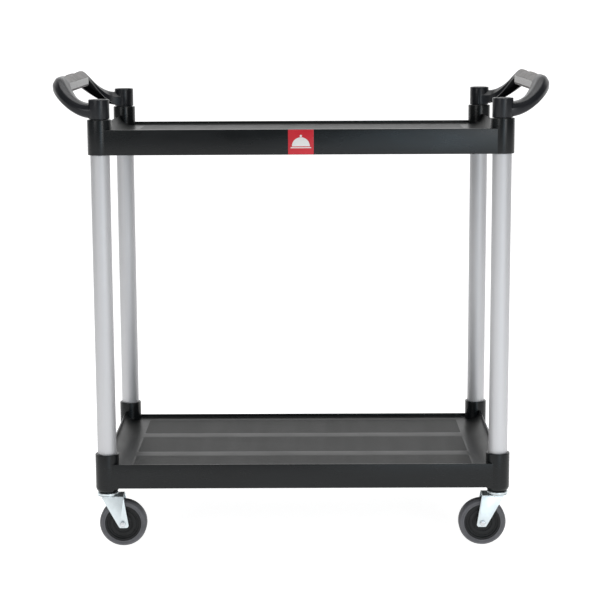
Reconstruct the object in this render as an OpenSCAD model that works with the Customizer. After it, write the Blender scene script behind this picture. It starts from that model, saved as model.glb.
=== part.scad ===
// Two-shelf food service trolley: moulded tray shelves on four aluminium posts,
// a push handle at each end and four swivel casters.
// X runs along the length, Y across the depth (front at -Y), Z up from the floor.

/* [Overall] */
// Distance between the post axes along the length
post_spacing_x = 828; // [700:1:900]
// Distance between the post axes across the depth
post_spacing_y = 492; // [420:1:540]
// Height of the lower shelf's apron bottom above the floor
lower_shelf_z = 128.5; // [128:0.5:160]
// Height of the upper shelf's apron bottom above the floor
upper_shelf_z = 833.5; // [600:0.5:900]

/* [Shelves] */
// Height of the front and end aprons
apron_h = 52; // [48:1:70]
// Height of the rear apron, lower so that loads slide in over it
rear_apron_h = 35; // [32:1:48]
// How far the long aprons stand out beyond the post axes
apron_reach_y = 22; // [20:0.5:23]
// How far the end aprons stand out beyond the post axes
apron_reach_x = 10; // [8:0.5:12]
// Apron wall thickness
wall_t = 4; // [3:0.5:5]
// Height of the tray floor's raised surface above the apron bottom
floor_z = 28; // [26:0.5:29]
// Thickness of the tray floor
floor_t = 4; // [3:0.5:5]
// Distance from the end apron's inside to the foot of the rounded cove
cove_run = 38; // [30:1:50]
// Outer diameter of the corner collars
collar_d = 50; // [48:0.5:52]
// Height of the collar tops above the apron bottom
collar_h = 72; // [60:1:90]
// How far the lower shelf's collars reach below its apron
collar_foot = 11.2; // [8:0.1:14]

/* [Floor panels] */
// Number of sunk panels across the depth
panel_count = 3; // [2:1:4]
// Width of the raised strip between two panels
strip_w = 28; // [20:1:40]
// Plain border between the outer panels and the long aprons
panel_border_y = 26; // [22:1:40]
// Plain border between the panels and the cove foot
panel_border_x = 11; // [8:1:30]
// Depth of the sunk panels
panel_sink = 1.2; // [0.8:0.1:1.5]
// Corner radius of the sunk panels
panel_corner_r = 10; // [4:1:20]
// Number of stiffening ribs across the underside
cross_ribs = 5; // [3:1:9]
// Thickness of the underside ribs
rib_t = 3; // [2:0.5:4]

/* [Posts] */
// Outer diameter of the post tubes
post_d = 40; // [36:0.5:41]
// Wall thickness of the post tubes
post_wall = 1.5; // [1:0.1:2.5]
// Thickness of the collar floor under each post
collar_floor_t = 6; // [4:0.5:8]

/* [Handles] */
// Diameter of the handle's socket on each post
socket_d = 42.8; // [42:0.1:46]
// Height of the handle's socket
socket_h = 40; // [34:1:50]
// Gap between the collar top and the socket
socket_gap = 1.5; // [1:0.1:3]
// Length of the spigot that goes down inside the post
spigot_l = 62; // [40:1:64]
// How far the handle stands out beyond the post axis
handle_reach = 106; // [102:1:110]
// Height of the grip's top above the socket's top
grip_rise = 44; // [40:1:55]
// Height of the handle arms where they leave the sockets
arm_h = 31.5; // [28:0.5:34]
// Length of the straight bar with the soft grip sleeve
grip_l = 310; // [302:1:314]
// Width of the arms and of the grip bar
grip_w = 36; // [32:1:38]
// Height of the grip bar
grip_h = 34.5; // [32:0.5:38]
// Thickness of the soft grip sleeve
grip_t = 2.5; // [1.5:0.5:3]

/* [Casters] */
// Wheel diameter
wheel_d = 100; // [90:1:100]
// Tyre width
tyre_w = 28; // [24:1:30]
// Radial thickness of the tyre
tyre_t = 11.5; // [8:0.5:14]
// Trail: distance from the swivel axis to the wheel axle
trail = 32; // [28:1:36]
// Diameter of the swivel race
race_d = 44; // [40:1:46]
// Thickness of the fork's steel sheet
fork_t = 2.5; // [2:0.1:2.8]
// Clear width between the fork legs
fork_gap = 34; // [33:0.5:36]
// Axle diameter
axle_d = 8; // [6:0.5:8]
// Diameter of the caster's stem
stem_d = 11; // [10:0.5:12]

/* [Label] */
// Width of the label plate on the upper front apron
label_w = 52.5; // [40:0.5:60]
// Height of the label plate
label_h = 51; // [40:0.5:52]
// Thickness of the label plate
label_t = 0.8; // [0.5:0.1:1.5]

/* [Hidden] */
CORNERS = ["front_left", "front_right", "rear_left", "rear_right"];
CORNER_PARTS = [
    "post", "stem_socket", "caster_stem", "caster_balls", "fork",
    "axle_bolt", "axle_nut", "axle_sleeve", "wheel_core", "tyre"
];

$fn = 96;
eps = 0.01;
fit = 0.05;            // radial clearance of a sliding or turning fit
over = 1;              // how far a cutter runs past the face it opens

post_x = post_spacing_x / 2;
post_y = post_spacing_y / 2;
post_r = post_d / 2;
collar_r = collar_d / 2;
shelf_x = post_x + apron_reach_x;
shelf_y = post_y + apron_reach_y;
inner_x = shelf_x - wall_t;
inner_y = shelf_y - wall_t;

rise = apron_h - floor_z;
cove_r = (cove_run * cove_run + rise * rise) / (2 * rise);
cove_x = inner_x - cove_run;
cove_z = floor_z + cove_r;

panel_x = cove_x - panel_border_x;
panel_span = 2 * (shelf_y - wall_t - panel_border_y) + strip_w;
panel_pitch = panel_span / panel_count;
panel_w = panel_pitch - strip_w;

collar_bottom_z = lower_shelf_z - collar_foot;
post_bottom_z = collar_bottom_z + collar_floor_t;
collar_top_z = upper_shelf_z + collar_h;
socket_z = collar_top_z + socket_gap;
socket_top_z = socket_z + socket_h;
grip_top_z = socket_top_z + grip_rise;
screw_z = 12;          // height of the hidden collar screws above the apron bottom
screw_d = 4;
screw_l = 11;
screw_head_d = 8;
screw_head_t = 2.4;
socket_plug_h = 52;    // height of the plug that grips the caster's stem
socket_plug_cap = 4;   // its closed top
spigot_bore_d = 28;
arm_clear = 1.5;       // how far the arms sit above the socket's bottom edge
arm_steps = 18;        // rings along each arm's sweep
corner_steps = 5;      // facets of each rounded corner of the grip's section
crest = 0.4;           // place of the grip's top across its width, from the inside
crest_drop_out = 0.57; // share of the height over which the outer side curves up to the crest
crest_drop_in = 0.38;  // the same on the inner side
low_round = 8;         // rounding of the grip's lower edges
low_rise = [0.1, 0.95]; // stretch of the sweep over which the arm's lower side rises
top_rise = [0.15, 1];   // the same for its upper side

wheel_r = wheel_d / 2;
wheel_z = wheel_r;
race_z = collar_bottom_z - 0.2;
race_t = 2.2;          // sheet thickness of the upper race
crown_z = race_z - 5.6;
king_r = 5;            // pin that the fork turns on
running_gap = 0.3;     // gap between faces that turn past each other
ball_d = 2.8;
ball_ring_r = 14.5;
ball_count = 16;
hub_w = fork_gap - 1;
leg_y = fork_gap / 2;
fork_half_w = leg_y + fork_t;
sleeve_r = 6;

// ---- Shared shapes ----

// Puts its children, drawn for the front left corner, at one corner by mirroring
module at_corner(corner) {
    right = (corner == "front_right" || corner == "rear_right") ? 1 : 0;
    rear = (corner == "rear_left" || corner == "rear_right") ? 1 : 0;
    mirror([right, 0, 0])
        mirror([0, rear, 0])
            translate([-post_x, -post_y, 0])
                children();
}

module at_every_corner() {
    for (corner = CORNERS)
        at_corner(corner)
            children();
}

module disc(d, h, z = 0) {
    translate([0, 0, z])
        cylinder(d = d, h = h);
}

// Rectangle with round corners, from its lower left corner
module round_rect(w, h, r) {
    translate([r, 0])
        square([w - 2 * r, h]);
    translate([0, r])
        square([w, h - 2 * r]);
    for (x = [r, w - r], y = [r, h - r])
        translate([x, y])
            circle(r = r);
}

// ---- Shelves ----

// Cross-section along X of the hollow above the tray floor
module tray_space_section() {
    translate([-cove_x, floor_z])
        square([2 * cove_x, apron_h]);
    for (side = [-1, 1])
        intersection() {
            translate([side * cove_x, cove_z])
                circle(r = cove_r);
            translate([min(side * cove_x, side * inner_x), floor_z])
                square([cove_run, apron_h]);
        }
}

// Cross-section along X of the hollow under the tray floor
module under_space_section() {
    difference() {
        translate([-inner_x, -over])
            square([2 * inner_x, apron_h]);
        translate([-cove_x, floor_z - floor_t])
            square([2 * cove_x, apron_h]);
        for (side = [-1, 1])
            translate([side * cove_x, cove_z])
                circle(r = cove_r + floor_t);
    }
}

module along_depth(half_l) {
    translate([0, half_l, 0])
        rotate([90, 0, 0])
            linear_extrude(height = 2 * half_l)
                children();
}

// Aprons, coved floor and sunk panels, without the collars
module tray() {
    difference() {
        translate([-shelf_x, -shelf_y, 0])
            cube([2 * shelf_x, 2 * shelf_y, apron_h]);
        along_depth(inner_y)
            tray_space_section();
        along_depth(inner_y)
            under_space_section();
        translate([-post_x, inner_y - over, rear_apron_h])
            cube([2 * post_x, wall_t + 2 * over, apron_h]);
        for (i = [0 : panel_count - 1])
            translate([-panel_x, -panel_span / 2 + strip_w / 2 + i * panel_pitch, floor_z - panel_sink])
                linear_extrude(height = apron_h)
                    round_rect(2 * panel_x, panel_w, panel_corner_r);
    }
}

// Ribs under the floor: one below each strip, and several across
module under_ribs() {
    rib_top = floor_z - floor_t + eps;
    rib_bottom = 3;
    for (i = [1 : panel_count - 1])
        translate([-inner_x + cove_run / 2, -panel_span / 2 + i * panel_pitch - rib_t / 2, rib_bottom])
            cube([2 * inner_x - cove_run, rib_t, rib_top - rib_bottom]);
    for (i = [1 : cross_ribs])
        translate([-cove_x + i * 2 * cove_x / (cross_ribs + 1) - rib_t / 2, -inner_y - over, rib_bottom])
            cube([rib_t, 2 * inner_y + 2 * over, rib_top - rib_bottom]);
}

// Solid collar with a softened top edge; foot > 0 adds the tapered foot
module collar(foot) {
    edge = 1;
    taper_r = 14;
    taper_z = 1;
    rotate_extrude()
        difference() {
            union() {
                translate([0, taper_z])
                    square([collar_r, collar_h - edge - taper_z]);
                translate([0, collar_h - edge - eps])
                    square([collar_r - edge, edge + eps]);
                intersection() {
                    translate([collar_r - edge, collar_h - edge])
                        circle(r = edge);
                    translate([0, collar_h - edge - eps])
                        square([collar_r, 2 * edge]);
                }
                if (foot > 0) {
                    translate([0, -foot])
                        square([collar_r - taper_r, foot + taper_z + eps]);
                    intersection() {
                        translate([collar_r - taper_r, taper_z])
                            circle(r = taper_r);
                        translate([0, -foot])
                            square([collar_r, foot + taper_z + eps]);
                    }
                } else {
                    square([collar_r, taper_z + eps]);
                }
            }
            translate([-collar_r, -apron_h])
                square([collar_r, 3 * apron_h]);
        }
}

// Hole for the screw that comes from inside the shelf towards the post axis
module screw_hole() {
    translate([0, 0, screw_z])
        rotate([0, 90, 0])
            cylinder(d = screw_d + 2 * fit, h = collar_d);
}

module shelf(foot, bore_bottom) {
    difference() {
        union() {
            tray();
            under_ribs();
            at_every_corner()
                collar(foot);
        }
        at_every_corner() {
            translate([0, 0, bore_bottom])
                cylinder(r = post_r + fit, h = 2 * collar_h);
            screw_hole();
            if (foot > 0)
                translate([0, 0, -foot - over])
                    cylinder(d = stem_d + 1, h = foot + collar_h);
        }
    }
}

module upper_shelf() {
    color("#26282a")
        translate([0, 0, upper_shelf_z])
            shelf(0, -over);
}

module lower_shelf() {
    color("#26282a")
        translate([0, 0, lower_shelf_z])
            shelf(collar_foot, post_bottom_z - lower_shelf_z);
}

// Four screws through the collars and posts, hidden under the tray floor
module shelf_screws() {
    color("#c4c8cc")
        at_every_corner()
            translate([collar_r, 0, screw_z])
                rotate([0, -90, 0]) {
                    translate([0, 0, -screw_head_t])
                        cylinder(d = screw_head_d, h = screw_head_t);
                    cylinder(d = screw_d, h = screw_l);
                }
}

// ---- Posts ----

module post() {
    length = collar_top_z - post_bottom_z;
    color("#c9cacc")
        translate([0, 0, post_bottom_z])
            difference() {
                cylinder(d = post_d, h = length);
                translate([0, 0, -over])
                    cylinder(d = post_d - 2 * post_wall, h = length + 2 * over);
                for (z = [lower_shelf_z, upper_shelf_z])
                    translate([0, 0, z + screw_z - post_bottom_z])
                        rotate([0, 90, 0])
                            cylinder(d = screw_d + 2 * fit, h = collar_d);
            }
}

// Plug in the post's lower end that grips the caster's stem
module stem_socket() {
    color("#1d1e20")
        translate([0, 0, post_bottom_z])
            difference() {
                cylinder(d = post_d - 2 * post_wall - 2 * fit, h = socket_plug_h);
                translate([0, 0, -over])
                    cylinder(d = stem_d + 2 * fit, h = socket_plug_h - socket_plug_cap + over);
                translate([0, 0, lower_shelf_z + screw_z - post_bottom_z])
                    rotate([0, 90, 0])
                        cylinder(d = screw_d + 2 * fit, h = collar_d);
            }
}

// ---- Handles ----

// Smooth rise from 0 to 1 while t runs through the stretch [start, end]
function rise_of(t, stretch) =
    let (v = min(1, max(0, (t - stretch[0]) / (stretch[1] - stretch[0]))))
        v * v * (3 - 2 * v);

// One rounded corner of the grip's section: an ellipse's quarter from angle a
function corner_arc(x, z, rx, rz, a) =
    [for (i = [0 : corner_steps]) let (t = a + 90 * i / corner_steps) [x + rx * cos(t), z + rz * sin(t)]];

// Cross-section of the grip, from 0 to 1 both ways: flat inside, with a high rounded crest
function grip_profile() =
    let (rx = low_round / grip_w, rz = low_round / grip_h)
        concat(
            corner_arc(1 - rx, rz, rx, rz, 270),
            corner_arc(crest, 1 - crest_drop_out, 1 - crest, crest_drop_out, 0),
            corner_arc(crest, 1 - crest_drop_in, crest, crest_drop_in, 90),
            corner_arc(rx, rz, rx, rz, 180)
        );

// Cross-section of the grip bar in place, inset all round
module grip_section(inset) {
    polygon([
        for (v = grip_profile()) [
            handle_reach - grip_w + inset + v[0] * (grip_w - 2 * inset),
            grip_top_z - grip_h + inset + v[1] * (grip_h - 2 * inset)
        ]
    ]);
}

// Point of the arm's skin at step t (0 at the socket, 1 at the bar) for point v of the profile
function arm_point(t, v) =
    let (
        angle = 90 * (1 - t),
        r = handle_reach - grip_w * (1 - v[0]),
        low = socket_z + arm_clear,
        bar_low = grip_top_z - grip_h,
        bottom = low + (bar_low - low) * rise_of(t, low_rise),
        top = low + arm_h + (grip_top_z - low - arm_h) * rise_of(t, top_rise)
    )
        [r * cos(angle), grip_l / 2 + r * sin(angle), bottom + v[1] * (top - bottom)];

// Arm that sweeps in plan from the socket round to the bar while it rises
module arm() {
    profile = grip_profile();
    count = len(profile);
    last = arm_steps * count;
    skin = [
        for (k = [0 : arm_steps - 1], i = [0 : count - 1])
            let (a = k * count + i, b = k * count + (i + 1) % count)
                [a, a + count, b + count, b]
    ];
    polyhedron(
        points = [for (k = [0 : arm_steps], v = profile) arm_point(k / arm_steps, v)],
        faces = concat(
            skin,
            [[for (i = [0 : count - 1]) i]],
            [[for (i = [0 : count - 1]) last + count - 1 - i]]
        )
    );
}

// Handle with its post axes at X = 0, reaching towards +X
module handle_shape() {
    difference() {
        union() {
            for (side = [0, 1])
                mirror([0, side, 0]) {
                    arm();
                    translate([0, post_y, 0]) {
                        disc(socket_d, socket_h, socket_z);
                        disc(post_d - 2 * post_wall - 2 * fit, spigot_l + eps, socket_z - spigot_l);
                    }
                }
            along_depth(grip_l / 2 + over)
                grip_section(grip_t);
        }
        for (side = [-1, 1])
            translate([0, side * post_y, socket_z - spigot_l]) {
                translate([0, 0, -over])
                    cylinder(d = spigot_bore_d, h = spigot_l + over);
                translate([0, 0, upper_shelf_z + screw_z - socket_z + spigot_l])
                    rotate([0, -90, 0])
                        cylinder(d = screw_d + 2 * fit, h = collar_d);
            }
    }
}

module grip_shape() {
    difference() {
        along_depth(grip_l / 2)
            grip_section(0);
        along_depth(grip_l / 2 + over)
            grip_section(grip_t);
    }
}

module on_left() {
    translate([-post_x, 0, 0])
        mirror([1, 0, 0])
            children();
}

module on_right() {
    translate([post_x, 0, 0])
        children();
}

// ---- Casters: drawn at the swivel axis, with the wheel trailing along +X ----

// Stem with the upper swivel race and the riveted pin, fixed to the trolley
module caster_stem() {
    boss_r = 9;
    rivet_r = 8;
    rivet_t = 2.8;
    lip_w = 2;
    stem_top = post_bottom_z + socket_plug_h - 2 * socket_plug_cap;
    rivet_top = crown_z - fork_t - running_gap;
    color("#b9c0c6")
        rotate_extrude() {
            translate([0, rivet_top - rivet_t])
                square([rivet_r, rivet_t]);
            translate([0, rivet_top - eps])
                square([king_r, race_z - rivet_top]);
            translate([0, crown_z + running_gap])
                square([boss_r, race_z - crown_z - running_gap]);
            translate([0, race_z - race_t])
                square([race_d / 2, race_t]);
            translate([race_d / 2 - lip_w, crown_z + 2 * running_gap])
                square([lip_w, race_z - crown_z - 2 * running_gap]);
            translate([0, race_z - race_t])
                square([stem_d / 2, stem_top - race_z + race_t]);
        }
}

// Ring of bearing balls between the upper race and the fork's crown
module caster_balls() {
    color("#dfe3e6")
        for (i = [0 : ball_count - 1])
            rotate([0, 0, i * 360 / ball_count])
                translate([ball_ring_r, 0, race_z - race_t - fit - ball_d / 2])
                    sphere(d = ball_d, $fn = 24);
}

// Outline of one fork leg in X and Z
module leg_outline() {
    foot_z = wheel_z - 8.5;
    foot_r = 5;
    foot_left = trail - 9.5;
    foot_right = trail + 12.5;
    polygon([
        [-14, crown_z - fork_t],
        [-10, crown_z],
        [trail + 2, crown_z],
        [foot_right, foot_z + foot_r],
        [foot_right - foot_r, foot_z],
        [foot_left + foot_r, foot_z],
        [foot_left + 0.5, foot_z + 2]
    ]);
    translate([foot_right - foot_r, foot_z + foot_r])
        circle(r = foot_r);
}

// Pressed steel fork: round race plate, crown and two tapering legs
module fork() {
    color("#c8d2d8")
        difference() {
            union() {
                disc(race_d - 1, fork_t, crown_z - fork_t);
                translate([0, -fork_half_w, crown_z - fork_t])
                    cube([trail + 2, 2 * fork_half_w, fork_t]);
                for (side = [-1, 1])
                    translate([0, side * (leg_y + fork_t / 2), 0])
                        along_depth(fork_t / 2)
                            leg_outline();
            }
            disc(2 * king_r + 2 * fit, 4 * fork_t, crown_z - 2 * fork_t);
            on_axle(-fork_half_w - over)
                cylinder(d = axle_d + 2 * fit, h = 2 * fork_half_w + 2 * over);
        }
}

// Turns its children's Z axis onto the wheel axle, starting at depth y
module on_axle(y) {
    translate([trail, y, wheel_z])
        rotate([-90, 0, 0])
            children();
}

module axle_bolt() {
    head_t = 4;
    head_d = 12.5;
    thread_out = 8;
    color("#d5dade")
        on_axle(-fork_half_w) {
            translate([0, 0, -head_t])
                cylinder(d = head_d, h = head_t, $fn = 6);
            cylinder(d = axle_d, h = 2 * fork_half_w + thread_out);
        }
}

// Locking nut: hexagon with a round collar
module axle_nut() {
    nut_d = 13.8;
    nut_t = 6;
    lock_d = 11;
    lock_t = 7.2;
    color("#d5dade")
        on_axle(fork_half_w + fit)
            difference() {
                union() {
                    cylinder(d = nut_d, h = nut_t, $fn = 6);
                    cylinder(d = lock_d, h = lock_t);
                }
                translate([0, 0, -over])
                    cylinder(d = axle_d + 2 * fit, h = lock_t + 2 * over);
            }
}

// Steel sleeve between the fork legs that the wheel turns on
module axle_sleeve() {
    color("#aab0b4")
        on_axle(-leg_y + fit)
            difference() {
                cylinder(r = sleeve_r, h = fork_gap - 2 * fit);
                translate([0, 0, -over])
                    cylinder(d = axle_d + 2 * fit, h = fork_gap + 2 * over);
            }
}

// Hub, web and rim of the wheel, with a ring groove on both faces of the web
module wheel_core() {
    core_r = wheel_r - tyre_t;
    bore_r = sleeve_r + fit;
    rim_w = tyre_w - 2;
    rim_t = 5;
    web_w = 20;
    hub_t = 7;
    groove_r = 1.6;
    groove_ring_r = 19;
    color("#303133")
        on_axle(0)
            rotate_extrude()
                difference() {
                    union() {
                        translate([bore_r, -hub_w / 2])
                            square([hub_t, hub_w]);
                        translate([bore_r, -web_w / 2])
                            square([core_r - bore_r, web_w]);
                        translate([core_r - rim_t, -rim_w / 2])
                            square([rim_t, rim_w]);
                    }
                    for (side = [-1, 1])
                        translate([groove_ring_r, side * web_w / 2])
                            circle(r = groove_r);
                }
}

// Tyre with rounded shoulders
module tyre() {
    shoulder_r = 6;
    color("#6b6b70")
        on_axle(0)
            rotate_extrude()
                intersection() {
                    translate([wheel_r - tyre_t, -tyre_w / 2])
                        square([tyre_t, tyre_w]);
                    translate([-wheel_r, -tyre_w / 2])
                        round_rect(2 * wheel_r, tyre_w, shoulder_r);
                }
}

// ---- Label ----

module label_plate() {
    color("#d8222c")
        translate([-label_w / 2, -shelf_y - label_t, upper_shelf_z + 0.5])
            cube([label_w, label_t, label_h]);
}

// ---- The parts, one line a node ----

upper_shelf();
lower_shelf();
translate([0, 0, upper_shelf_z]) shelf_screws();  // upper_shelf_screws
translate([0, 0, lower_shelf_z]) shelf_screws();  // lower_shelf_screws
label_plate();
color("#46484c") on_left() handle_shape();  // handle_left
color("#46484c") on_right() handle_shape();  // handle_right
color("#96928f") on_left() grip_shape();  // grip_left
color("#96928f") on_right() grip_shape();  // grip_right
for (corner = CORNERS) {
    at_corner(corner) post();
    at_corner(corner) stem_socket();
    at_corner(corner) caster_stem();
    at_corner(corner) caster_balls();
    at_corner(corner) fork();
    at_corner(corner) axle_bolt();
    at_corner(corner) axle_nut();
    at_corner(corner) axle_sleeve();
    at_corner(corner) wheel_core();
    at_corner(corner) tyre();
}
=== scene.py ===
"""Food service trolley: the visual model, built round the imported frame."""

import math

import bmesh
import bpy
from mathutils import Matrix, Vector


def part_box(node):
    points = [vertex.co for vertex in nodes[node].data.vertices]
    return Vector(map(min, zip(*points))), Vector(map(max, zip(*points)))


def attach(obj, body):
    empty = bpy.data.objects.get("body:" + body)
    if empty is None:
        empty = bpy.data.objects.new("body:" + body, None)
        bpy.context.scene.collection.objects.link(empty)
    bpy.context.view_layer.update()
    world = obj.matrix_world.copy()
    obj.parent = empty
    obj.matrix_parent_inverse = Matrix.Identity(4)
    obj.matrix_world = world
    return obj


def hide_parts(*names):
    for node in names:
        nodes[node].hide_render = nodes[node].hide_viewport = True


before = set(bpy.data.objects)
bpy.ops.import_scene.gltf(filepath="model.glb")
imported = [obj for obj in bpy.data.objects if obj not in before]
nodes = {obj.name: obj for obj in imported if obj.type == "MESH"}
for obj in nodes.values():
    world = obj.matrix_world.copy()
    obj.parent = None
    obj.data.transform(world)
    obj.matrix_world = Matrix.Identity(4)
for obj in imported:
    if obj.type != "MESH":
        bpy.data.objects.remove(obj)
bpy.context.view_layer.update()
MM = 0.001
CORNERS = ("front_left", "front_right", "rear_left", "rear_right")


# ---------------------------------------------------------------- materials

class Look:
    """A node material: base colour with slow variation, roughness variation and a fine bump."""

    def __init__(self, name, colour, rough, metallic=0.0, specular=0.5):
        """Plain principled material, ready for variation."""
        self.mat = bpy.data.materials.new(name)
        self.mat.use_nodes = True
        self.tree = self.mat.node_tree
        self.shader = next(n for n in self.tree.nodes if n.type == "BSDF_PRINCIPLED")
        self.set("Base Color", (*colour, 1))
        self.set("Roughness", rough)
        self.set("Metallic", metallic)
        self.set("Specular IOR Level", specular)
        self.colour, self.rough = colour, rough
        self.coords = self.tree.nodes.new("ShaderNodeTexCoord")
        self.normal = None

    def set(self, socket, value):
        """Constant on one of the shader's own sockets."""
        self.shader.inputs[socket].default_value = value

    def space(self, stretch, turn=(0, 0, 0)):
        """Object coordinates, in metres, times stretch."""
        mapping = self.tree.nodes.new("ShaderNodeMapping")
        mapping.inputs["Scale"].default_value = stretch
        mapping.inputs["Rotation"].default_value = [math.radians(a) for a in turn]
        self.tree.links.new(self.coords.outputs["Object"], mapping.inputs["Vector"])
        return mapping.outputs["Vector"]

    def noise(self, scale, detail=3.0, stretch=(1, 1, 1)):
        """Noise with about scale cells in a metre."""
        n = self.tree.nodes.new("ShaderNodeTexNoise")
        n.inputs["Scale"].default_value = scale
        n.inputs["Detail"].default_value = detail
        self.tree.links.new(self.space(stretch), n.inputs["Vector"])
        return n.outputs["Fac"]

    def wave(self, scale, turn, distortion=0.0):
        """Parallel bands, turned by these degrees about X, Y and Z."""
        n = self.tree.nodes.new("ShaderNodeTexWave")
        n.inputs["Scale"].default_value = scale
        n.inputs["Distortion"].default_value = distortion
        n.inputs["Detail Scale"].default_value = 2.0
        self.tree.links.new(self.space((1, 1, 1), turn), n.inputs["Vector"])
        return n.outputs["Fac"]

    def ranged(self, value, low, high, start=0.3, end=0.7):
        """Value from start to end, spread over low to high."""
        n = self.tree.nodes.new("ShaderNodeMapRange")
        for key, v in (("From Min", start), ("From Max", end), ("To Min", low), ("To Max", high)):
            n.inputs[key].default_value = v
        self.tree.links.new(value, n.inputs["Value"])
        return n.outputs["Result"]

    def vary_colour(self, value, darker, lighter):
        """Base colour from darker to lighter times the named colour, following value."""
        ramp = self.tree.nodes.new("ShaderNodeValToRGB")
        ramp.color_ramp.elements[0].position = 0.3
        ramp.color_ramp.elements[1].position = 0.7
        ramp.color_ramp.elements[0].color = (*[c * darker for c in self.colour], 1)
        ramp.color_ramp.elements[1].color = (*[min(1, c * lighter) for c in self.colour], 1)
        self.tree.links.new(value, ramp.inputs["Fac"])
        self.tree.links.new(ramp.outputs["Color"], self.shader.inputs["Base Color"])
        return self

    def vary_rough(self, value, amount):
        """Roughness up to amount above and below its own value, following value."""
        r = self.ranged(value, self.rough - amount, self.rough + amount)
        self.tree.links.new(r, self.shader.inputs["Roughness"])
        return self

    def bump(self, value, strength, distance):
        """Relief that follows value, on top of any relief before it."""
        n = self.tree.nodes.new("ShaderNodeBump")
        n.inputs["Strength"].default_value = strength
        n.inputs["Distance"].default_value = distance
        self.tree.links.new(value, n.inputs["Height"])
        if self.normal is not None:
            self.tree.links.new(self.normal, n.inputs["Normal"])
        self.normal = n.outputs["Normal"]
        self.tree.links.new(self.normal, self.shader.inputs["Normal"])
        return self


def shelf_looks(looks):
    """Moulded black polypropylene: fine spark-eroded grain, faint flow marks."""
    m = Look("shelf_black", (0.0058, 0.0068, 0.0074), 0.28, specular=0.28)
    m.vary_colour(m.noise(5, 2, (1, 1, 3)), 0.85, 1.25)
    m.vary_rough(m.noise(9, 4, (1, 1, 3)), 0.045)
    m.bump(m.noise(1500, 2), 0.08, 0.0002).bump(m.noise(16, 2, (1, 1, 2.5)), 0.08, 0.0005)
    looks["shelf"] = m.mat

    m = Look("shelf_black_smooth", (0.0072, 0.0082, 0.0080), 0.33, specular=0.12)
    m.vary_colour(m.noise(6, 2), 0.9, 1.15)
    m.vary_rough(m.noise(12, 3), 0.03)
    m.bump(m.noise(900, 2), 0.04, 0.0002)
    looks["shelf_smooth"] = m.mat

    m = Look("shelf_black_textured", (0.0078, 0.0088, 0.0083), 0.42, specular=0.07)
    m.vary_colour(m.noise(7, 2), 0.92, 1.1)
    m.vary_rough(m.noise(5, 2, (6, 0.5, 1)), 0.015)
    m.bump(m.noise(1100, 3), 0.30, 0.0004)
    looks["shelf_textured"] = m.mat


def post_look(looks):
    """Satin anodised tube with fine drawing lines along it."""
    m = Look("satin_aluminium", (0.60, 0.60, 0.612), 0.60, metallic=0.6)
    m.vary_colour(m.noise(3, 2, (1, 1, 0.4)), 0.97, 1.03)
    m.vary_rough(m.noise(900, 2, (1, 1, 0.004)), 0.04)
    m.bump(m.noise(1800, 1, (1, 1, 0.003)), 0.05, 0.0002)
    looks["post"] = m.mat


def handle_looks(looks):
    """Dark grey moulding, the rough inside of its open arms with a darker colour and weak reflection as
    painted shade, and the grip with its knurled inner facet much paler as painted light.
    """
    m = Look("handle_grey", (0.0115, 0.0125, 0.0150), 0.33, specular=0.30)
    m.vary_colour(m.noise(22, 3), 0.9, 1.12)
    m.vary_rough(m.noise(40, 3), 0.04)
    m.bump(m.noise(1300, 2), 0.10, 0.0002)
    looks["handle"] = m.mat

    # Painted shade: a darker, barely reflecting copy of the handle plastic for the inside of the arms' open
    # channel.
    m = Look("handle_painted_shade_inside_black", (0.0050, 0.0053, 0.0060), 0.75, specular=0.06)
    m.vary_colour(m.noise(30, 3), 0.85, 1.2)
    m.bump(m.noise(700, 2), 0.15, 0.0002)
    looks["handle_inside"] = m.mat

    # Painted light: the grip's flat inner facet gets this much paler copy of the grip's grey, for light
    # falling on that side; the wave bands are its real knurl.
    m = Look("grip_painted_light_pad_light", (0.740, 0.732, 0.728), 0.64, specular=0.28)
    m.vary_colour(m.wave(95, (0, 35, 45), 1.5), 0.72, 1.10)
    m.vary_rough(m.noise(50, 2), 0.05)
    m.bump(m.wave(260, (0, 35, 45)), 0.45, 0.0004).bump(m.noise(1500, 2), 0.15, 0.0002)
    looks["grip_pad"] = m.mat

    m = Look("grip_soft_grey", (0.190, 0.184, 0.181), 0.64, specular=0.26)
    m.vary_colour(m.noise(60, 3), 0.88, 1.12)
    m.vary_rough(m.noise(50, 2), 0.05)
    m.bump(m.wave(260, (0, 35, 45)), 0.35, 0.0003).bump(m.noise(1500, 2), 0.15, 0.0002)
    looks["grip"] = m.mat


def label_looks(looks):
    """Printed label with a slight varnish."""
    m = Look("label_red", (0.50, 0.014, 0.026), 0.40, specular=0.3)
    m.set("Coat Weight", 0.12)
    m.set("Coat Roughness", 0.12)
    m.vary_colour(m.noise(30, 2), 0.94, 1.04)
    m.bump(m.noise(300, 2), 0.04, 0.0002)
    looks["label"] = m.mat

    m = Look("label_white", (0.70, 0.70, 0.69), 0.45, specular=0.3)
    m.vary_colour(m.noise(40, 2), 0.96, 1.02)
    m.bump(m.noise(400, 2), 0.04, 0.0002)
    looks["label_white"] = m.mat


def metal_looks(looks):
    """Bluish zinc plate with slightly uneven gloss, brighter fasteners, and the plugs in the posts."""
    m = Look("socket_black", (0.014, 0.014, 0.015), 0.5)
    m.vary_colour(m.noise(40, 2), 0.85, 1.2)
    m.bump(m.noise(900, 2), 0.1, 0.0002)
    looks["socket"] = m.mat

    m = Look("zinc_plate", (0.69, 0.75, 0.77), 0.46, metallic=1.0)
    m.vary_colour(m.noise(60, 3), 0.94, 1.05)
    m.vary_rough(m.noise(90, 3), 0.05)
    m.bump(m.noise(220, 3), 0.05, 0.0002)
    looks["zinc"] = m.mat

    m = Look("fastener_zinc", (0.62, 0.64, 0.66), 0.28, metallic=1.0)
    m.vary_colour(m.noise(300, 2), 0.88, 1.06)
    m.vary_rough(m.noise(260, 2), 0.08)
    m.bump(m.noise(700, 2), 0.08, 0.0002)
    looks["fastener"] = m.mat


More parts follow.
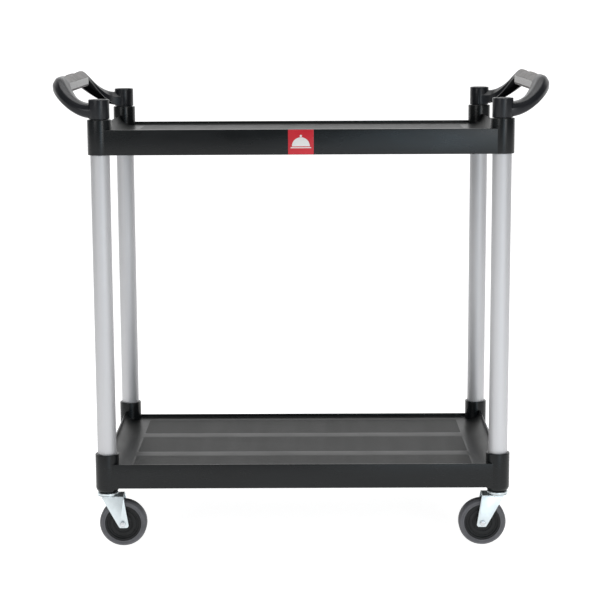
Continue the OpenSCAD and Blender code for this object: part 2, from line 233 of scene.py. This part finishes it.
def wheel_looks(looks):
    """Black wheel core and grey rubber tyre."""
    m = Look("wheel_black", (0.0080, 0.0085, 0.009), 0.42, specular=0.26)
    m.vary_colour(m.noise(70, 3), 0.85, 1.25)
    m.vary_rough(m.noise(60, 2), 0.05)
    m.bump(m.noise(1100, 2), 0.10, 0.0002)
    looks["wheel"] = m.mat

    m = Look("tyre_grey", (0.105, 0.105, 0.113), 0.58, specular=0.35)
    m.vary_colour(m.noise(55, 4), 0.86, 1.14)
    m.vary_rough(m.noise(70, 3), 0.06)
    m.bump(m.noise(1000, 3), 0.22, 0.0003)
    looks["tyre"] = m.mat


LOOKS = {}
for fill in (shelf_looks, post_look, handle_looks, label_looks, metal_looks, wheel_looks):
    fill(LOOKS)


# ---------------------------------------------------------------- mesh parts
# A part is (vertices, faces, material index or one index a face); piece() joins parts into one object.

def rounded(corners, steps=5):
    """Outline with every corner (x, y, radius) turned into an arc; the outline is closed."""
    out = []
    n = len(corners)
    for i, (x, y, r) in enumerate(corners):
        p = Vector((x, y))
        a = Vector(corners[i - 1][:2]) - p
        b = Vector(corners[(i + 1) % n][:2]) - p
        if r <= 0:
            out.append((x, y))
            continue
        half = a.angle(b) / 2
        cut = min(r / math.tan(half), 0.49 * a.length, 0.49 * b.length)
        radius = cut * math.tan(half)
        start = p + a.normalized() * cut
        centre = p + (a.normalized() + b.normalized()).normalized() * (radius / math.sin(half))
        swing = (start - centre).angle_signed(p + b.normalized() * cut - centre)
        for k in range(steps + 1):
            turn = Matrix.Rotation(-swing * k / steps, 2)
            out.append(tuple(centre + turn @ (start - centre)))
    return out


def inset_outline(points, d):
    """Closed outline moved inwards by d along its corners' bisectors."""
    n = len(points)
    area = sum(points[i - 1][0] * points[i][1] - points[i][0] * points[i - 1][1] for i in range(n))
    sign = 1 if area > 0 else -1
    out = []
    for i in range(n):
        p = Vector(points[i])
        a = p - Vector(points[i - 1])
        b = Vector(points[(i + 1) % n]) - p
        if a.length < 1e-9:
            a = b
        if b.length < 1e-9:
            b = a
        na = Vector((-a.y, a.x)).normalized() * sign
        nb = Vector((-b.y, b.x)).normalized() * sign
        bis = (na + nb)
        bis = bis.normalized() if bis.length > 1e-6 else na
        out.append(tuple(p + bis * (d / max(0.4, bis.dot(na)))))
    return out


def skin(rings, closed=False, caps=True, mat=0):
    """Quads between rings of points; the ends get a cap each, or the last joins the first."""
    verts = [p for ring in rings for p in ring]
    count = len(rings[0])
    faces = []
    last = len(rings) if closed else len(rings) - 1
    for k in range(last):
        a, b = k * count, ((k + 1) % len(rings)) * count
        faces += [[a + i, a + (i + 1) % count, b + (i + 1) % count, b + i] for i in range(count)]
    if caps and not closed:
        faces.append(list(range(count))[::-1])
        faces.append([(len(rings) - 1) * count + i for i in range(count)])
    return verts, faces, mat


def slab(outline, depth, edge, place, steps=2, mat=0):
    """Plate with rounded edges. place(u, v, w) puts outline point (u, v) at depth w."""
    turns = [math.pi / 2 * k / steps for k in range(steps + 1)]
    near = [(edge * (1 - math.sin(t)), edge * (1 - math.cos(t))) for t in turns]
    levels = near + [(i, depth - w) for i, w in reversed(near)]
    rings = []
    for inset, w in levels:
        pts = inset_outline(outline, inset) if inset > 1e-9 else outline
        rings.append([place(u, v, w) for u, v in pts])
    return skin(rings, mat=mat)


def box_outline(u0, v0, u1, v1, r=0.0, steps=4):
    """Rectangle between two corners, with its corners rounded by r."""
    if r <= 0:
        return [(u0, v0), (u1, v0), (u1, v1), (u0, v1)]
    return rounded([(u0, v0, r), (u1, v0, r), (u1, v1, r), (u0, v1, r)], steps)


def lathe(profile, at=(0, 0, 0), axis="Z", steps=96, mat=0):
    """Solid turned from a closed profile of (radius, height) about an axis through at."""
    rings = []
    for r, h in profile:
        ring = []
        for i in range(steps):
            a = 2 * math.pi * i / steps
            c, s = r * math.cos(a), r * math.sin(a)
            p = (c, s, h) if axis == "Z" else (c, h, s)
            ring.append(tuple(at[k] + p[k] for k in range(3)))
        rings.append(ring)
    return skin(rings, closed=True, mat=mat)


def piece(name, parts, looks, body, stands_for=(), sharp=35):
    """One object from parts, riding on a body; edges over sharp degrees stay sharp."""
    mesh = bpy.data.meshes.new(name)
    verts, faces, mats = [], [], []
    for v, f, m in parts:
        base = len(verts)
        verts += v
        faces += [[base + i for i in face] for face in f]
        mats += m if isinstance(m, list) else [m] * len(f)
    mesh.from_pydata(verts, [], faces)
    for look in looks:
        mesh.materials.append(LOOKS[look])
    mesh.polygons.foreach_set("material_index", mats)
    bm = bmesh.new()
    bm.from_mesh(mesh)
    bmesh.ops.remove_doubles(bm, verts=bm.verts, dist=1e-7)
    bmesh.ops.dissolve_degenerate(bm, edges=bm.edges, dist=1e-7)
    bmesh.ops.recalc_face_normals(bm, faces=bm.faces)
    bm.to_mesh(mesh)
    bm.free()
    mesh.shade_smooth()
    mesh.set_sharp_from_angle(angle=math.radians(sharp))
    obj = bpy.data.objects.new(name, mesh)
    bpy.context.scene.collection.objects.link(obj)
    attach(obj, body)
    if stands_for:
        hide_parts(*stands_for)
    return obj


# ---------------------------------------------------------------- places, from the frame (metres)

def lo(node):
    """Lowest corner of a CAD node's box."""
    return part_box(node)[0]


def hi(node):
    """Highest corner of a CAD node's box."""
    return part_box(node)[1]


def middle(node):
    """Middle of a CAD node's box."""
    a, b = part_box(node)
    return (a + b) / 2


POST = {c: middle("post_" + c) for c in CORNERS}
WHEEL = {c: middle("tyre_" + c) for c in CORNERS}
POST_X = POST["front_right"].x
POST_Y = POST["rear_right"].y
POST_R = hi("post_front_right").x - POST_X
COLLAR_R = hi("upper_shelf").x - POST_X
SIDE = {c: (1 if POST[c].x > 0 else -1) for c in CORNERS}
BACK = {c: (1 if POST[c].y > 0 else -1) for c in CORNERS}
NEAR_AXIS = 0.01 * MM  # where the profile of a turned solid starts


# ---------------------------------------------------------------- shelves

APRON_H = 52 * MM
REAR_H = 35 * MM
WALL = 4 * MM
FLOOR = 28 * MM
FLOOR_T = 4 * MM
FILLET = 5 * MM
COVE_RUN = 38 * MM
COVE_STEPS = 20
COVE_SWELL = 1.15
COLLAR_H = 72 * MM
FOOT = 11.2 * MM
FOOT_TAPER = 14 * MM
FOOT_FLOOR = 6 * MM
RIB_T = 3 * MM
RIB_EDGE = 0.6 * MM
CROSS_RIBS = 5
LAP = 0.2 * MM  # how far the parts of one moulding reach into each other
SHELF_X = POST_X + 10 * MM
SHELF_Y = POST_Y + 22 * MM
INNER_X = SHELF_X - WALL
INNER_Y = SHELF_Y - WALL
COVE_X = INNER_X - COVE_RUN

# sunk panels of the tray floor, with strips between and round them
PANELS = 3
STRIP = 28 * MM
SIDE_STRIP = 26 * MM
END_STRIP = 11 * MM
PANEL_CORNER = 10 * MM
PANEL_EDGE = [(0, 0), (1, 0.04), (2, 0.13), (3, 0.27), (4, 0.36), (5, 0.4)]  # inset and drop in mm
PANEL_SPAN = 2 * (INNER_Y - SIDE_STRIP) + STRIP
PITCH = PANEL_SPAN / PANELS


def holed_sheet(outer, holes, z):
    """Faces of the flat region between an outline and its holes, at height z."""
    bm = bmesh.new()
    edges = []
    for loop in [outer] + holes:
        vs = [bm.verts.new((x, y, z)) for x, y in loop]
        edges += [bm.edges.new((vs[i - 1], vs[i])) for i in range(len(vs))]
    bmesh.ops.triangle_fill(bm, use_beauty=True, use_dissolve=False, edges=edges)
    bm.verts.index_update()
    verts = [tuple(v.co) for v in bm.verts]
    faces = [[v.index for v in f.verts] for f in bm.faces]
    bm.free()
    return verts, faces


def tray_floor(z):
    """Flat slab between the coves, with the sunk panels in its top."""
    panel_x = COVE_X - END_STRIP
    top, low = z + FLOOR, z + FLOOR - FLOOR_T
    outer = box_outline(-COVE_X, -INNER_Y, COVE_X, INNER_Y)
    verts, faces, mats = [], [], []

    def add(v, f, m):
        base = len(verts)
        verts.extend(v)
        faces.extend([[base + i for i in face] for face in f])
        mats.extend([m] * len(f))

    holes = []
    for i in range(PANELS):
        y0 = -PANEL_SPAN / 2 + STRIP / 2 + i * PITCH
        hole = box_outline(-panel_x, y0, panel_x, y0 + PITCH - STRIP, PANEL_CORNER, 6)
        holes.append(hole)
        rings = []
        for inset, drop in PANEL_EDGE:
            pts = inset_outline(hole, inset * MM) if inset else hole
            rings.append([(x, y, top - drop * MM) for x, y in pts])
        v, f, _ = skin(rings, caps=False)
        add(v, f, 0)
        add(rings[-1], [list(range(len(rings[-1])))], 1)
    v, f = holed_sheet(outer, holes, top)
    add(v, f, 0)
    add([(x, y, low) for x, y in outer], [[3, 2, 1, 0]], 0)
    for i in range(4):
        a, b = outer[i - 1], outer[i]
        add([(*a, low), (*b, low), (*b, top), (*a, top)], [[0, 1, 2, 3]], 0)
    return verts, faces, mats


def cove(z, side):
    """Rounded end of the tray floor, rising to the end apron's rim."""
    foot_z = z + FLOOR
    rise = APRON_H - FLOOR
    turns = [math.pi / 2 * k / COVE_STEPS for k in range(COVE_STEPS + 1)]
    top = [(COVE_X + COVE_RUN * math.sin(a), foot_z + rise * (1 - math.cos(a)) ** COVE_SWELL) for a in turns]
    limit = INNER_X + 0.3 * MM
    low = [(min(x + FLOOR_T * math.sin(a), limit), h - FLOOR_T * math.cos(a))
           for (x, h), a in zip(top, turns)]
    outline = top + low[::-1]
    reach = INNER_Y + LAP
    return skin([[(side * x, y, h) for x, h in outline] for y in (-reach, reach)])


def aprons(z):
    """Front wall, lower rear wall with a full-height stub at each end of it, and the two end walls."""
    def wall(outline, place):
        return slab(outline, WALL, 1.0 * MM, place, 3, 2)

    front = box_outline(-SHELF_X, z, SHELF_X, z + APRON_H)
    rear = box_outline(-POST_X, z, POST_X, z + REAR_H)
    parts = [
        wall(front, lambda u, v, w: (u, -SHELF_Y + w, v)),
        wall(rear, lambda u, v, w: (u, SHELF_Y - w, v)),
    ]
    for s in (-1, 1):
        stub = box_outline(s * POST_X, z, s * SHELF_X, z + APRON_H)
        parts.append(wall(stub, lambda u, v, w: (u, SHELF_Y - w, v)))
        end = box_outline(-SHELF_Y, z, SHELF_Y, z + APRON_H)
        parts.append(wall(end, lambda u, v, w: (s * (SHELF_X - w), u, v)))
    return parts


def fillets(z):
    """Rounded joints where the tray floor meets the long aprons."""
    low = z + FLOOR - LAP
    half = COVE_X + 12 * MM
    turns = [math.pi / 2 * k / 8 for k in range(9)]
    parts = []
    for s in (-1, 1):
        edge = s * (INNER_Y + LAP)
        ring = [(edge, low)]
        ring += [(edge - s * FILLET * (1 - math.sin(a)), low + FILLET * (1 - math.cos(a))) for a in turns]
        parts.append(skin([[(x, y, h) for y, h in ring] for x in (-half, half)]))
    return parts


def ribs(z):
    """Long ribs under the strips between the panels, and cross ribs."""
    top, bottom = z + FLOOR - FLOOR_T + LAP, z + 3 * MM
    parts = []
    for i in range(1, PANELS):
        y = -PANEL_SPAN / 2 + i * PITCH - RIB_T / 2
        rib = box_outline(-INNER_X + COVE_RUN / 2, bottom, INNER_X - COVE_RUN / 2, top)
        parts.append(slab(rib, RIB_T, RIB_EDGE, lambda u, v, w: (u, y + w, v), 2, 2))
    reach = INNER_Y + 1 * MM
    for i in range(1, CROSS_RIBS + 1):
        x = -COVE_X + i * 2 * COVE_X / (CROSS_RIBS + 1) - RIB_T / 2
        rib = box_outline(-reach, bottom, reach, top)
        parts.append(slab(rib, RIB_T, RIB_EDGE, lambda u, v, w: (x + w, u, v), 2, 2))
    return parts


def collar_profile(foot):
    """Half section of a collar; one with a foot goes on below the shelf, tapers and closes the bore."""
    bore = POST_R + 0.05 * MM
    c = COLLAR_R
    rim = [(c, COLLAR_H, 1.2 * MM), (bore, COLLAR_H, 0.5 * MM)]
    if foot <= 0:
        return rounded([(bore, 0, 0), (c, 0, 0.8 * MM)] + rim, 4)
    hole = 6 * MM
    shoulder = 1 * MM
    bore_floor = FOOT_FLOOR - foot
    arc = []
    for k in range(13):
        h = -foot + (foot + shoulder) * k / 12
        arc.append((c - FOOT_TAPER + math.sqrt(max(0, FOOT_TAPER ** 2 - (h - shoulder) ** 2)), h))
    upper = rounded([(c, shoulder, 0)] + rim + [(bore, bore_floor, 0)], 4)
    return [(hole, -foot), (c - FOOT_TAPER, -foot)] + arc + upper[1:] + [(hole, bore_floor)]


def shelf(name, foot):
    """One shelf moulding; its collars reach down by foot."""
    z = lo(name).z + foot
    parts = [tray_floor(z), cove(z, -1), cove(z, 1)]
    parts += aprons(z) + fillets(z) + ribs(z)
    profile = collar_profile(foot)
    parts += [lathe(profile, (POST[c].x, POST[c].y, z), mat=2) for c in CORNERS]
    piece(name + "_moulding", parts, ["shelf_smooth", "shelf_textured", "shelf"],
          "trolley", [name])


shelf("upper_shelf", 0.0)
shelf("lower_shelf", FOOT)


# ---------------------------------------------------------------- posts

TUBE_WALL = 1.5 * MM


def post(c):
    """Open tube with broken edges."""
    low, top = lo("post_" + c).z, hi("post_" + c).z
    bore = POST_R - TUBE_WALL
    tube = rounded([(bore, low, 0.3 * MM), (POST_R, low, 0.4 * MM),
                    (POST_R, top, 0.4 * MM), (bore, top, 0.3 * MM)], 2)
    piece("post_tube_" + c, [lathe(tube, (POST[c].x, POST[c].y, 0), steps=128)],
          ["post"], "trolley", ["post_" + c])


for c in CORNERS:
    post(c)


# ---------------------------------------------------------------- handles

GRIP_TOP = hi("grip_right").z
GRIP_LOW = lo("grip_right").z
GRIP_OUT = hi("grip_right").x - POST_X
GRIP_IN = lo("grip_right").x - POST_X
GRIP_Y = hi("grip_right").y
GRIP_W = GRIP_OUT - GRIP_IN
GRIP_H = GRIP_TOP - GRIP_LOW
GRIP_T = 2.5 * MM
GRIP_DIP = 4.6 * MM
GRIP_STEPS = 96
ARM_H = 31.5 * MM
ARM_STEPS = 48
SOCKET_LOW = hi("post_front_right").z + 1.5 * MM
SOCKET_TOP = SOCKET_LOW + 40 * MM
SOCKET_R = 21.4 * MM
SPIGOT_R = 18.4 * MM
SPIGOT_BORE = 14 * MM
SPIGOT_LOW = SOCKET_LOW - 62 * MM

# the grip's section in shares of its width and height: flat inner face, ridge, full outer side
CORNER_STEPS = 7
SECTION = rounded([
    (0, 0, 0.16), (0.97, 0, 0.25), (1, 0.56, 0.40), (0.80, 0.90, 0.30),
    (0.40, 1.042, 0.30), (0, 0.62, 0.05),
], CORNER_STEPS)


def smooth(t, a, b):
    """From 0 at a to 1 at b, level at both."""
    v = min(1, max(0, (t - a) / (b - a)))
    return v * v * (3 - 2 * v)


def two_looks(rings, strips):
    """Skin between rings, with the second look on the lengthwise strips of these numbers."""
    verts, faces, _ = skin(rings)
    count = len(rings[0])
    mats = [int(i % count in strips) for i in range(len(faces) - 2)] + [0, 0]
    return verts, faces, mats


def arm_section(t):
    """Section of an arm, open from below: t is 0 at the socket, where it closes, and 1 at the grip."""
    deep = smooth(t, 0.05, 0.30)
    lip = deep * (0.12 + 0.30 * smooth(t, 0.1, 0.8))
    inner_wall = [(0, lip), (0.07, lip), (0.085, 0.54 * deep)]
    outer_wall = [(0.70 + u * deep, v * deep) for u, v in ((0.14, 0.52), (0.16, 0.24), (0, 0))]
    return SECTION[CORNER_STEPS + 1:] + inner_wall + outer_wall


def arm(side, end):
    """Arm from a socket (end is -1 at the front, 1 at the back) round to the grip."""
    rings = []
    low0 = SOCKET_LOW + 1.5 * MM
    top0 = low0 + ARM_H
    for k in range(-2, ARM_STEPS + 1):
        t = k / ARM_STEPS
        angle = math.pi / 2 * (1 - t)
        low = low0 + (GRIP_LOW - low0) * smooth(t, 0.1, 0.95)
        top = top0 + (GRIP_TOP - top0) * smooth(t, 0.15, 1)
        ring = []
        for u, v in arm_section(t):
            r = GRIP_IN + u * GRIP_W
            x = POST_X + r * math.cos(angle)
            y = GRIP_Y + r * math.sin(angle)
            ring.append((side * x, end * y, low + v * (top - low)))
        rings.append(ring)
    count = len(rings[0])
    # The strips inside the open channel get the second look, which is painted shade.
    return two_looks(rings, range(count - 5, count - 1))


def grip_rings(side, inset, half):
    """Rings along the bar from -half to half, inset from the grip's outside, with two finger dips."""
    rings = []
    for k in range(GRIP_STEPS + 1):
        y = -half + 2 * half * k / GRIP_STEPS
        edge = half - abs(y)
        i = inset + 0.5 * MM * (1 - min(1, edge / (1.2 * MM))) ** 2
        dip = GRIP_DIP * (0.5 - 0.5 * math.cos(2 * math.pi * (y + half) / half)) ** 1.5
        ring = []
        for u, v in SECTION:
            h = i + v * (GRIP_H - 2 * i) - dip * max(0, v - 0.55) / 0.45
            ring.append((side * (POST_X + GRIP_IN + i + u * (GRIP_W - 2 * i)), y, GRIP_LOW + h))
        rings.append(ring)
    return rings


def handle(word, side):
    """Handle moulding with its sockets, spigots, arms and bar, and the grip sleeve round the bar."""
    parts = [arm(side, end) for end in (-1, 1)]
    rim, dish = SOCKET_R - 4.5 * MM, SOCKET_TOP - 1 * MM
    socket = rounded([
        (NEAR_AXIS, SOCKET_LOW, 0), (SOCKET_R, SOCKET_LOW, 0.8 * MM), (SOCKET_R, SOCKET_TOP, 1.6 * MM),
        (rim, SOCKET_TOP, 0.6 * MM), (rim - 1 * MM, dish, 0.6 * MM), (NEAR_AXIS, dish, 0),
    ], 4)
    joint = SOCKET_LOW + 1 * MM
    spigot = rounded([
        (SPIGOT_BORE, SPIGOT_LOW, 0), (SPIGOT_R, SPIGOT_LOW, 0.8 * MM),
        (SPIGOT_R, joint, 0), (SPIGOT_BORE, joint, 0),
    ], 3)
    for end in (-1, 1):
        at = (side * POST_X, end * POST_Y, 0)
        parts += [lathe(socket, at), lathe(spigot, at)]
    parts.append(skin(grip_rings(side, GRIP_T, GRIP_Y + 1 * MM)))
    # The second look, on the insides of the arms' channels, is painted shade.
    piece("handle_moulding_" + word, parts, ["handle", "handle_inside"],
          "trolley", ["handle_" + word], 40)
    # The sleeve's flat inner facet gets the second look, which is painted light.
    sleeve = two_looks(grip_rings(side, 0, GRIP_Y - 0.3 * MM), [len(SECTION) - 1])
    piece("grip_sleeve_" + word, [sleeve], ["grip", "grip_pad"],
          "trolley", ["grip_" + word], 40)


handle("left", -1)
handle("right", 1)


# ---------------------------------------------------------------- label

def label():
    """Red plate with a generic pictogram, slightly raised: a domed dish cover on a tray."""
    a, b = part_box("label_plate")
    w, h, t = b.x - a.x, b.z - a.z, b.y - a.y
    plate = box_outline(a.x, a.z, b.x, b.z, 1.5 * MM, 4)
    parts = [slab(plate, t, 0.3 * MM, lambda u, v, d: (u, a.y + d, v))]

    def raised(outline):
        parts.append(slab(outline, 0.5 * MM, 0.08 * MM, lambda u, v, d: (u, a.y - 0.2 * MM + d, v), 2, 1))

    base = a.z + 0.33 * h
    r = 0.35 * w
    raised([(r * math.cos(math.pi * k / 32), base + r * math.sin(math.pi * k / 32)) for k in range(33)])
    half, low, top = 0.40 * w, base - 0.075 * h, base - 0.035 * h
    raised(box_outline(-half, low, half, top, 0.6 * MM, 3))
    knob = 0.045 * w
    centre = base + r + knob * 1.2
    turns = [math.pi * k / 12 for k in range(24)]
    raised([(knob * math.cos(a), centre + knob * math.sin(a)) for a in turns])
    piece("label", parts, ["label", "label_white"], "trolley", ["label_plate"])


label()


# ---------------------------------------------------------------- casters

RACE_Z = lo("lower_shelf").z - 0.2 * MM
CROWN_Z = RACE_Z - 5.6 * MM
TRAIL = abs(POST["front_right"].x - WHEEL["front_right"].x)
AXLE_Z = WHEEL["front_right"].z
FORK_T = 2.5 * MM
LEG_Y = 17 * MM
FORK_HALF = LEG_Y + FORK_T
BEND = 3.2 * MM
BOLT_R = 4 * MM

# half profiles of the wheel in mm: radius, distance from the middle plane, rounding
CORE_PROFILE = [
    (6.05, 16.5, 0.4), (12.6, 16.5, 0.8), (13.2, 11, 1.5), (17.2, 10, 0.8), (17.8, 8.8, 0.6),
    (20.2, 8.8, 0.6), (20.8, 10, 0.6), (27.5, 10, 0.8), (28.1, 9.0, 0.5), (29.3, 9.0, 0.5),
    (29.9, 10, 0.5), (33.2, 10, 1.2), (33.8, 13, 0.8), (38.5, 13, 0.5),
]
TYRE_PROFILE = [
    (38.5, 14, 0.4), (41.2, 14, 0.4), (41.7, 13.4, 0.3), (42.3, 13.4, 0.3), (42.8, 14, 0.4),
    (46.5, 13.6, 2.5), (50, 8.5, 4.5),
]


def caster_race(c):
    """Upper race, stem and rivet, fixed to the trolley."""
    at = (POST[c].x, POST[c].y, 0)
    stem_top = hi("caster_stem_" + c).z
    rivet_top = CROWN_Z - FORK_T - 0.3 * MM
    rivet_low = rivet_top - 2.8 * MM
    skirt = RACE_Z - 5 * MM
    roof = RACE_Z - 2.2 * MM
    seat = CROWN_Z + 0.3 * MM
    race = rounded([
        (NEAR_AXIS, roof, 0), (20 * MM, roof, 0.5 * MM), (20 * MM, skirt, 0.3 * MM),
        (22 * MM, skirt, 0.5 * MM), (22 * MM, RACE_Z, 1.8 * MM), (NEAR_AXIS, RACE_Z, 0),
    ], 4)
    rivet = rounded([
        (NEAR_AXIS, rivet_low, 0), (8 * MM, rivet_low, 1.4 * MM), (8 * MM, rivet_top, 0.3 * MM),
        (5 * MM, rivet_top, 0), (5 * MM, seat, 0), (9 * MM, seat, 0.3 * MM),
        (9 * MM, RACE_Z - 2 * MM, 0), (NEAR_AXIS, RACE_Z - 2 * MM, 0),
    ], 4)
    stem = rounded([
        (NEAR_AXIS, RACE_Z - 1 * MM, 0), (5.5 * MM, RACE_Z - 1 * MM, 0),
        (5.5 * MM, stem_top, 1 * MM), (NEAR_AXIS, stem_top, 0),
    ], 3)
    parts = [lathe(race, at), lathe(rivet, at), lathe(stem, at, steps=48)]
    piece("caster_race_" + c, parts, ["zinc"], "trolley", ["caster_stem_" + c], 40)


def caster_fork(c):
    """Pressed fork: race disc, crown, bends and tapering legs."""
    x0, y0 = POST[c].x, POST[c].y
    inward = -SIDE[c]

    def put(u, v, w):
        return (x0 + inward * u, y0 + v, w)

    disc = rounded([
        (5.05 * MM, CROWN_Z - FORK_T, 0.7 * MM), (21.5 * MM, CROWN_Z - FORK_T, 0.7 * MM),
        (21.5 * MM, CROWN_Z, 0.7 * MM), (5.05 * MM, CROWN_Z, 0.7 * MM),
    ], 3)
    parts = [lathe(disc, (x0, y0, 0))]
    flat = FORK_HALF - BEND
    crown = box_outline(8 * MM, -flat, TRAIL + 2 * MM, flat)
    parts.append(slab(crown, FORK_T, 0.4 * MM, lambda u, v, w: put(u, v, CROWN_Z - w)))
    leg = rounded([
        (-12 * MM, CROWN_Z - BEND, 1 * MM), (TRAIL + 2.4 * MM, CROWN_Z - BEND, 0.2 * MM),
        (TRAIL + 12.5 * MM, AXLE_Z - 5 * MM, 8 * MM), (TRAIL + 9 * MM, AXLE_Z - 8.5 * MM, 4 * MM),
        (TRAIL - 7 * MM, AXLE_Z - 8.5 * MM, 4 * MM), (TRAIL - 10.5 * MM, AXLE_Z - 3 * MM, 4 * MM),
    ], 5)
    for s in (-1, 1):
        parts.append(slab(leg, FORK_T, 0.5 * MM, lambda u, v, w: put(u, s * (LEG_Y + w), v), 2))
        rings = []
        for u in (-10 * MM, TRAIL + 2 * MM):
            ring = []
            for radius, turn in ((BEND, 1), (BEND - FORK_T, -1)):
                for k in range(9)[::turn]:
                    a = math.pi / 2 * k / 8
                    v, w = flat + radius * math.cos(a), CROWN_Z - BEND + radius * math.sin(a)
                    ring.append(put(u, s * v, w))
            rings.append(ring)
        parts.append(skin(rings))
    piece("fork_pressing_" + c, parts, ["zinc"], "swivel_" + c, ["fork_" + c], 40)


def axle(c):
    """Hexagon bolt and locking nut; the bolt's head faces away from the trolley."""
    out = BACK[c]
    at = (POST[c].x - SIDE[c] * TRAIL, POST[c].y, AXLE_Z)

    def hexagon(name, across, near, far, turned, node):
        turns = [math.pi / 3 * k for k in range(6)]
        pts = [(across / 2 * math.cos(a), across / 2 * math.sin(a)) for a in turns]
        start = at[1] + min(near, far)
        head = slab(pts, abs(far - near), 0.7 * MM, lambda u, v, w: (at[0] + u, start + w, AXLE_Z + v), 3)
        piece(name + c, [head, turned], ["fastener"], "swivel_" + c, [node + c], 30)

    a, b = sorted((out * FORK_HALF, -out * (FORK_HALF + 8 * MM)))
    shank = rounded([(NEAR_AXIS, a, 0), (BOLT_R, a, 0.5 * MM), (BOLT_R, b, 0.5 * MM), (NEAR_AXIS, b, 0)], 2)
    hexagon("axle_hex_bolt_", 12.5 * MM, out * FORK_HALF, out * (FORK_HALF + 4 * MM),
            lathe(shank, at, "Y", 48), "axle_bolt_")

    near = -out * (FORK_HALF + 0.05 * MM)
    a, b = sorted((near, -out * (FORK_HALF + 7.2 * MM)))
    bore, ring = BOLT_R + 0.05 * MM, 5.5 * MM
    lock = rounded([(bore, a, 0.3 * MM), (ring, a, 0.6 * MM), (ring, b, 0.6 * MM), (bore, b, 0.3 * MM)], 3)
    hexagon("axle_lock_nut_", 13.8 * MM, near, -out * (FORK_HALF + 6 * MM),
            lathe(lock, at, "Y", 48), "axle_nut_")


def both_sides(half_profile):
    """Closed profile from one half of it, in mm, and its mirror image."""
    other = [(r, -h, f) for r, h, f in reversed(half_profile)]
    return [(r * MM, h * MM, f * MM) for r, h, f in half_profile + other]


def wheel(c):
    """Wheel core with hub, rings and rim, and the tyre."""
    at = (POST[c].x - SIDE[c] * TRAIL, POST[c].y, AXLE_Z)
    core = rounded(both_sides(CORE_PROFILE), 3)
    piece("wheel_centre_" + c, [lathe(core, at, "Y", 112)], ["wheel"],
          "wheel_" + c, ["wheel_core_" + c], 40)
    tyre = rounded(both_sides(TYRE_PROFILE), 5)
    piece("tyre_tread_" + c, [lathe(tyre, at, "Y", 144)], ["tyre"],
          "wheel_" + c, ["tyre_" + c], 40)


for c in CORNERS:
    caster_race(c)
    caster_fork(c)
    axle(c)
    wheel(c)


# ---------------------------------------------------------------- CAD nodes that stay

def dress(node, look):
    """Give a CAD node one of the looks."""
    mesh = nodes[node].data
    if not mesh.materials:
        mesh.materials.append(LOOKS[look])
    for i in range(len(mesh.materials)):
        mesh.materials[i] = LOOKS[look]


dress("upper_shelf_screws", "fastener")
dress("lower_shelf_screws", "fastener")
for c in CORNERS:
    dress("stem_socket_" + c, "socket")
    dress("caster_balls_" + c, "fastener")
    dress("axle_sleeve_" + c, "fastener")


# ---------------------------------------------------------------- stage, light and camera

def backdrop():
    """Pale floor that curves up into a wall far behind the trolley."""
    path = [(-9.0, 0.0), (4.0, 0.0)]
    radius = 2.5
    path += [(4.0 + radius * math.sin(a), radius - radius * math.cos(a))
             for a in [math.pi / 2 * k / 16 for k in range(1, 17)]]
    path.append((4.0 + radius, 9.0))
    verts = [(x, y, z) for y, z in path for x in (-12.0, 12.0)]
    faces = [[2 * k, 2 * k + 1, 2 * k + 3, 2 * k + 2] for k in range(len(path) - 1)]
    mesh = bpy.data.meshes.new("studio_floor")
    mesh.from_pydata(verts, [], faces)
    mesh.shade_smooth()
    look = Look("studio_white", (0.50, 0.50, 0.50), 0.85)
    look.set("Specular IOR Level", 0.0)
    look.set("Emission Color", (1, 1, 1, 1))
    look.set("Emission Strength", 0.93)
    mesh.materials.append(look.mat)
    floor = bpy.data.objects.new("studio_floor", mesh)
    bpy.context.scene.collection.objects.link(floor)


def softbox(name, place, target, size, power, colour=(1, 1, 1)):
    """Rectangular area light at place, facing target."""
    data = bpy.data.lights.new(name, "AREA")
    data.shape = "RECTANGLE"
    data.size, data.size_y = size
    data.energy = power
    data.color = colour
    obj = bpy.data.objects.new(name, data)
    obj.location = place
    obj.rotation_euler = (Vector(target) - Vector(place)).to_track_quat("-Z", "Y").to_euler()
    bpy.context.scene.collection.objects.link(obj)


def light():
    """Dim even surroundings and five softboxes."""
    world = bpy.data.worlds.new("studio")
    world.use_nodes = True
    bpy.context.scene.world = world
    sky = next(n for n in world.node_tree.nodes if n.type == "BACKGROUND")
    sky.inputs["Color"].default_value = (1, 1, 1, 1)
    sky.inputs["Strength"].default_value = 0.12
    softbox("key_right", (2.0, -3.9, 1.6), (0, 0, 0.5), (0.9, 2.2), 40)
    softbox("fill_left", (-2.6, -3.6, 2.2), (0, 0, 0.5), (1.6, 2.0), 34)
    softbox("front_right", (1.15, -4.4, 0.7), (0.3, 0, 0.8), (1.1, 1.5), 17, (0.62, 0.84, 1))
    softbox("behind", (0, 3.2, 3.4), (0, 0, 0.4), (3.0, 1.4), 24)
    softbox("top", (0, 0.2, 3.4), (0, 0, 0), (2.6, 1.8), 48)
    bpy.context.scene.view_settings.view_transform = "Standard"


def camera():
    """Long lens in front of the trolley, a little above the handles, looking slightly down."""
    pitch, yaw, roll = 0.16742, -0.00504, -0.00483
    forward = Vector((math.sin(yaw) * math.cos(pitch), math.cos(yaw) * math.cos(pitch), -math.sin(pitch)))
    right = Vector((math.cos(yaw), -math.sin(yaw), 0))
    down = forward.cross(right)
    across = math.cos(roll) * right - math.sin(roll) * down
    down = math.sin(roll) * right + math.cos(roll) * down
    data = bpy.data.cameras.new("camera")
    data.lens = 103.62
    data.sensor_width = 36
    obj = bpy.data.objects.new("camera", data)
    place = Matrix((across, -down, -forward)).transposed().to_4x4()
    place.translation = Vector((0.01448, -3.80187, 1.12933))
    obj.matrix_world = place
    bpy.context.scene.collection.objects.link(obj)
    bpy.context.scene.camera = obj


backdrop()
light()
camera()
